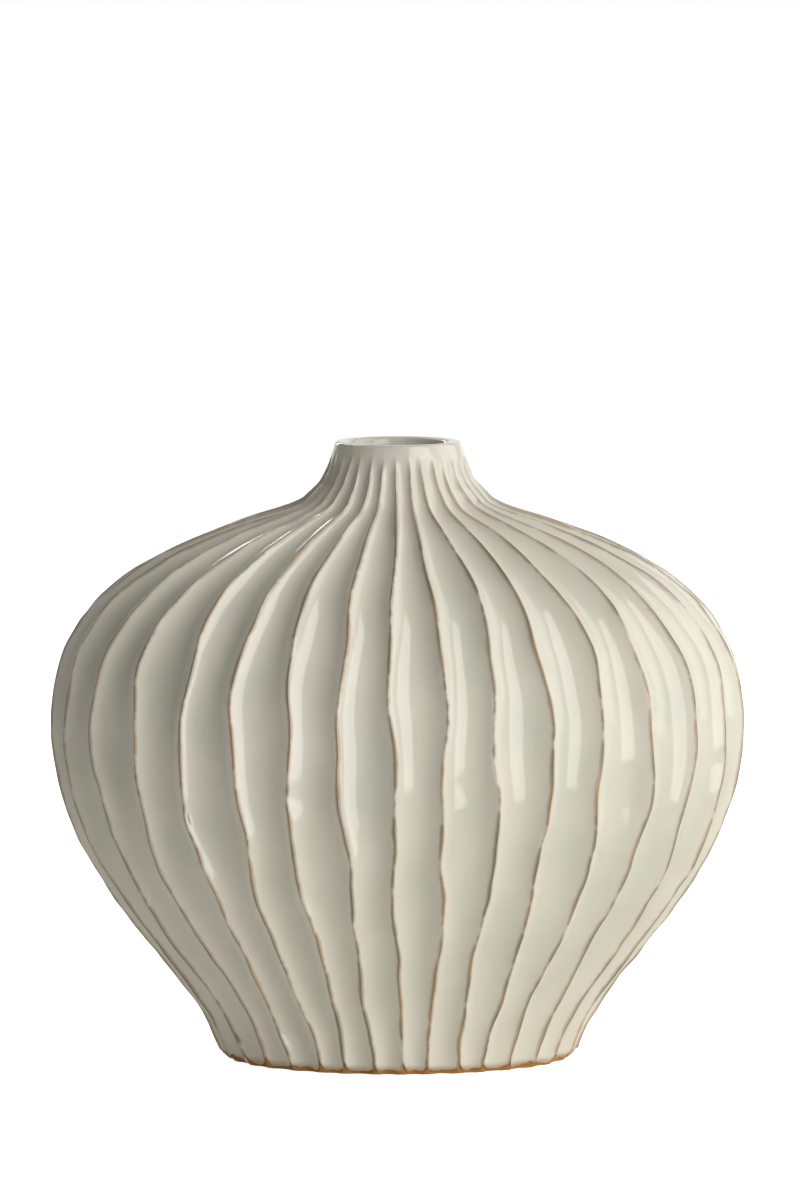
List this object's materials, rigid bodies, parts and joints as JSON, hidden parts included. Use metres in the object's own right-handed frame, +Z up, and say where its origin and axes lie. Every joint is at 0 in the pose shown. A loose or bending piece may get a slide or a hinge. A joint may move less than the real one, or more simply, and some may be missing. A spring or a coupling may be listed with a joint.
{
  "type": "fluted vase",
  "caption": "Low oval stoneware vase with hand-cut vertical flutes, a small round mouth on a short neck, off-white glaze and a bare bevelled foot.",
  "frame": {"origin": "on the table under the middle of the vase", "axes": "+Z up, +X along the wide side of the oval, -Y out of the front"},
  "size_m": [0.2388, 0.1579, 0.213],
  "materials": {
    "bare_stoneware": "bare fired stoneware, ochre brown, matt",
    "stoneware_body": "fired stoneware under the glaze",
    "joint_slip": "fired slip in the joints",
    "liner_glaze": "glossy off-white glaze",
    "outer_glaze": "glossy warm off-white glaze that breaks rust brown on the ridges"
  },
  "bodies": {
    "root": {"foot_ring": "bare_stoneware", "floor_slab": "bare_stoneware", "bowl_wall": "stoneware_body", "belly_slip": "joint_slip", "shoulder_wall": "stoneware_body", "neck_slip": "joint_slip", "neck_collar": "stoneware_body", "liner_glaze": "liner_glaze", "outer_glaze": "outer_glaze"}
  },
  "joints": []
}
